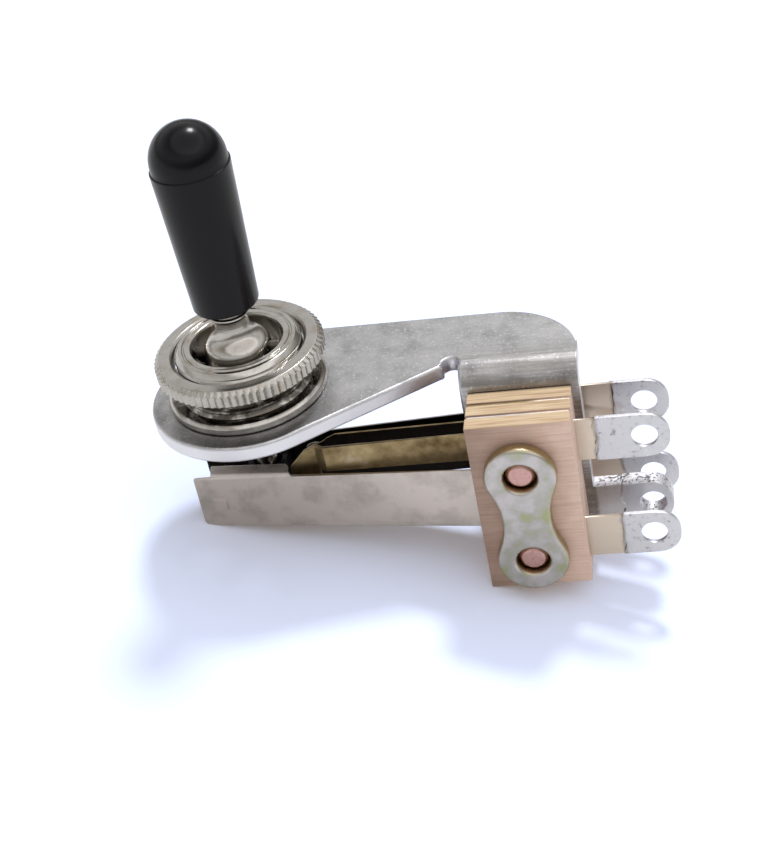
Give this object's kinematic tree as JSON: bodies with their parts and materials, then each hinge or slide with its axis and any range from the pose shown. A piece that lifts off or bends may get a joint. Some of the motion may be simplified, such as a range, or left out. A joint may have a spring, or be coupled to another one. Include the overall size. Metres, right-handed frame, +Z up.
{
  "type": "guitar pickup selector switch",
  "caption": "Right-angle three-way toggle switch with an open leaf stack, solder lugs, a threaded bushing, a knurled nut and a black lever tip.",
  "frame": {"origin": "on the bushing's axis at the top face of the bracket's plate", "axes": "+Z up along the bushing towards the lever's tip, +X towards the leaf stack and its solder lugs, +Y to the back of the switch"},
  "size_m": [0.0477, 0.0185, 0.0489],
  "materials": {
    "plated_steel": "dull plated sheet steel",
    "bright_nickel": "bright nickel plate",
    "black_plastic": "satin moulded plastic",
    "nickel_silver": "rolled nickel-silver spring strip, tinned at the lugs",
    "contact_silver": "silver contact points",
    "phenolic_board": "sawn phenolic paper board",
    "yellow_zinc": "zinc plate with a yellow-green tint",
    "screw_steel": "plated steel",
    "sleeve_tube": "rolled fibre tube"
  },
  "bodies": {
    "base": {"bracket_frame": "plated_steel", "threaded_bushing": "bright_nickel", "front_outer_leaf": "nickel_silver", "rear_outer_leaf": "nickel_silver", "front_inner_leaf": "nickel_silver", "rear_inner_leaf": "nickel_silver", "front_inner_contact": "contact_silver", "rear_inner_contact": "contact_silver", "front_inner_insulator": "phenolic_board", "front_middle_insulator": "phenolic_board", "front_outer_insulator": "phenolic_board", "rear_inner_insulator": "phenolic_board", "rear_middle_insulator": "phenolic_board", "rear_outer_insulator": "phenolic_board", "clamp_plate": "yellow_zinc", "upper_screw": "screw_steel", "lower_screw": "screw_steel", "upper_washer": "screw_steel", "lower_washer": "screw_steel", "upper_sleeve": "sleeve_tube", "lower_sleeve": "sleeve_tube"},
    "pin": {"pivot_pin": "screw_steel"},
    "lever": {"toggle_lever": "bright_nickel", "lever_tip": "black_plastic", "leaf_actuator": "black_plastic"},
    "nut": {"knurled_nut": "bright_nickel"},
    "front_contact": {"front_outer_contact": "contact_silver"},
    "rear_contact": {"rear_outer_contact": "contact_silver"}
  },
  "joints": [
    {"name": "throw_forward", "type": "hinge", "parent": "base", "child": "pin", "pos_m": [0, 0, 0.0045], "axis": [1, 0, 0], "range_deg": [0, 10]},
    {"name": "throw_back", "type": "hinge", "parent": "pin", "child": "lever", "pos_m": [0, 0, 0.0045], "axis": [1, 0, 0], "range_deg": [-10, 0]},
    {"name": "nut_turn", "type": "hinge", "parent": "base", "child": "nut", "pos_m": [0, 0, 0.0034], "axis": [0, 0, 1], "continuous": true},
    {"name": "rear_leaf_flex", "type": "hinge", "parent": "base", "child": "rear_contact", "pos_m": [0.0203, 0.0045, -0.01], "axis": [0, 0, -1], "range_deg": [0, 7.5], "deforming": ["rear_outer_leaf"]},
    {"name": "front_leaf_flex", "type": "hinge", "parent": "base", "child": "front_contact", "pos_m": [0.0203, -0.0045, -0.01], "axis": [0, 0, 1], "range_deg": [0, 7.5], "deforming": ["front_outer_leaf"]}
  ],
  "couplings": [
    {"joint": "rear_leaf_flex", "follows": "throw_forward", "ratio": 0.75},
    {"joint": "front_leaf_flex", "follows": "throw_back", "ratio": -0.75}
  ]
}
